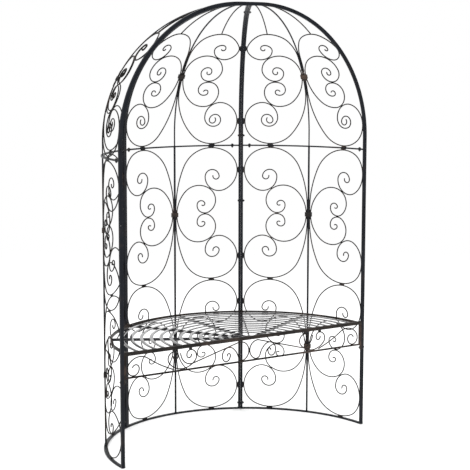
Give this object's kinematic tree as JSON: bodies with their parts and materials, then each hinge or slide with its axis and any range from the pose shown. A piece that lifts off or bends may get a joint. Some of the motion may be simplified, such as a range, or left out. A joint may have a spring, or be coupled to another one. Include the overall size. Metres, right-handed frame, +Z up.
{
  "type": "garden arbour",
  "caption": "Half-round metal garden arbour with scrollwork screens, a half-dome roof, an open front and a built-in slatted bench.",
  "frame": {"origin": "on the ground, in the middle of the bounding box", "axes": "+X to the right, +Y to the closed, round back, +Z up; the open front faces -Y"},
  "size_m": [1.263, 0.6269, 1.8945],
  "materials": {
    "frame_coating": "satin",
    "scroll_coating": "satin",
    "clip_coating": "matt, rubbed bronze",
    "bench_coating": "satin",
    "rail_coating": "satin, rubbed bronze",
    "apron_coating": "satin, rubbed bronze",
    "fastener_coating": "satin black",
    "plug_plastic": "matt black"
  },
  "bodies": {
    "root": {"left_screen_posts": "frame_coating", "left_screen_base_rail": "frame_coating", "left_screen_top_flat": "frame_coating", "left_screen_mid_bar": "frame_coating", "left_screen_outer_scrolls": "scroll_coating", "left_screen_inner_scrolls": "scroll_coating", "left_screen_collars": "clip_coating", "left_screen_weld_clips": "clip_coating", "left_gore_posts": "frame_coating", "left_gore_bottom_flat": "frame_coating", "left_gore_mid_bar": "frame_coating", "left_gore_rods": "scroll_coating", "left_gore_outer_scrolls": "scroll_coating", "left_gore_inner_scrolls": "scroll_coating", "left_gore_collar_and_clips": "clip_coating", "back_screen_posts": "frame_coating", "back_screen_base_rail": "frame_coating", "back_screen_top_flat": "frame_coating", "back_screen_mid_bar": "frame_coating", "back_screen_outer_scrolls": "scroll_coating", "back_screen_inner_scrolls": "scroll_coating", "back_screen_collars": "clip_coating", "back_screen_weld_clips": "clip_coating", "back_gore_posts": "frame_coating", "back_gore_bottom_flat": "frame_coating", "back_gore_mid_bar": "frame_coating", "back_gore_rods": "scroll_coating", "back_gore_outer_scrolls": "scroll_coating", "back_gore_inner_scrolls": "scroll_coating", "back_gore_collar_and_clips": "clip_coating", "right_screen_posts": "frame_coating", "right_screen_base_rail": "frame_coating", "right_screen_top_flat": "frame_coating", "right_screen_mid_bar": "frame_coating", "right_screen_outer_scrolls": "scroll_coating", "right_screen_inner_scrolls": "scroll_coating", "right_screen_collars": "clip_coating", "right_screen_weld_clips": "clip_coating", "right_gore_posts": "frame_coating", "right_gore_bottom_flat": "frame_coating", "right_gore_mid_bar": "frame_coating", "right_gore_rods": "scroll_coating", "right_gore_outer_scrolls": "scroll_coating", "right_gore_inner_scrolls": "scroll_coating", "right_gore_collar_and_clips": "clip_coating", "bench_front_rail": "rail_coating", "bench_rim": "bench_coating", "bench_slats": "bench_coating", "bench_hub_and_supports": "bench_coating", "bench_rear_brackets": "bench_coating", "apron_lower_rail": "rail_coating", "apron_end_bars": "rail_coating", "apron_lugs": "rail_coating", "apron_scrolls": "apron_coating", "apron_braces": "apron_coating", "apron_weld_clips": "clip_coating", "joint_bolts_and_nuts": "fastener_coating", "spring_bolts_and_nuts": "fastener_coating", "bench_bolts_and_nuts": "fastener_coating", "post_foot_plugs": "plug_plastic"}
  },
  "joints": []
}
